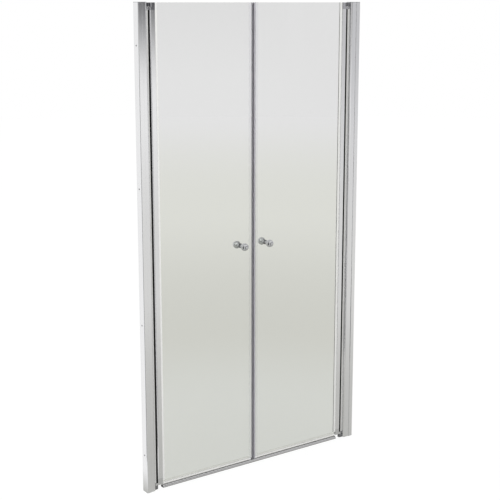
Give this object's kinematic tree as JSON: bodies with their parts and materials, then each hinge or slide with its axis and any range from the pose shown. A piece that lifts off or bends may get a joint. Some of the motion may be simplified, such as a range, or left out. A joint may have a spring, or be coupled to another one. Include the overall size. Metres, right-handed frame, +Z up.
{
  "type": "double swing shower door",
  "caption": "Niche shower door with two hinged glass leaves between wall profiles, double-sided knobs, seam seals and a low threshold rail.",
  "frame": {"origin": "on the tray, midway between the two walls, in the middle plane of the glass", "axes": "+X along the opening to the right as seen from outside, +Y into the shower, +Z up"},
  "size_m": [1.02, 0.0908, 1.85],
  "materials": {
    "polished_profile": "bright polished and anodised",
    "chromed_casting": "bright chrome plate on a zinc casting",
    "chrome": "bright chrome plate on brass",
    "cover_plastic": "silver grey, glossy",
    "steel": "plain stainless steel",
    "black_seal": "smooth black elastomer",
    "nylon": "natural nylon",
    "white_gasket": "soft white elastomer",
    "glass": "clear toughened glass",
    "clear_seal": "clear soft vinyl",
    "magnet_rubber": "dark bonded magnet"
  },
  "bodies": {
    "frame": {"left_wall_channel": "polished_profile", "left_adjusting_profile": "polished_profile", "left_top_cover": "cover_plastic", "left_clamp_screws": "steel", "left_bottom_pivot_block": "chromed_casting", "left_top_pivot_block": "chromed_casting", "left_bottom_pivot_pin": "steel", "left_top_pivot_pin": "steel", "left_block_screws": "steel", "left_gap_seal": "black_seal", "right_wall_channel": "polished_profile", "right_adjusting_profile": "polished_profile", "right_top_cover": "cover_plastic", "right_clamp_screws": "steel", "right_bottom_pivot_block": "chromed_casting", "right_top_pivot_block": "chromed_casting", "right_bottom_pivot_pin": "steel", "right_top_pivot_pin": "steel", "right_block_screws": "steel", "right_gap_seal": "black_seal", "threshold_rail": "polished_profile"},
    "left_leaf": {"left_hinge_profile": "polished_profile", "left_bottom_hinge_cap": "chromed_casting", "left_top_hinge_cap": "chromed_casting", "left_bottom_bush": "nylon", "left_top_bush": "nylon", "left_glazing_gasket": "white_gasket", "left_glass": "glass", "left_magnet_seal": "clear_seal", "left_magnet_strip": "magnet_rubber", "left_drip_seal": "clear_seal", "left_outer_knob": "chrome", "left_inner_knob": "chrome", "left_knob_stud": "steel", "left_knob_sleeve": "nylon", "left_knob_washers": "clear_seal"},
    "right_leaf": {"right_hinge_profile": "polished_profile", "right_bottom_hinge_cap": "chromed_casting", "right_top_hinge_cap": "chromed_casting", "right_bottom_bush": "nylon", "right_top_bush": "nylon", "right_glazing_gasket": "white_gasket", "right_glass": "glass", "right_magnet_seal": "clear_seal", "right_magnet_strip": "magnet_rubber", "right_drip_seal": "clear_seal", "right_outer_knob": "chrome", "right_inner_knob": "chrome", "right_knob_stud": "steel", "right_knob_sleeve": "nylon", "right_knob_washers": "clear_seal"}
  },
  "joints": [
    {"name": "left_leaf_hinge", "type": "hinge", "parent": "frame", "child": "left_leaf", "pos_m": [-0.4625, 0, 0], "axis": [0, 0, 1], "range_deg": [-90, 90]},
    {"name": "right_leaf_hinge", "type": "hinge", "parent": "frame", "child": "right_leaf", "pos_m": [0.4545, 0, 0], "axis": [0, 0, -1], "range_deg": [-90, 90]}
  ]
}
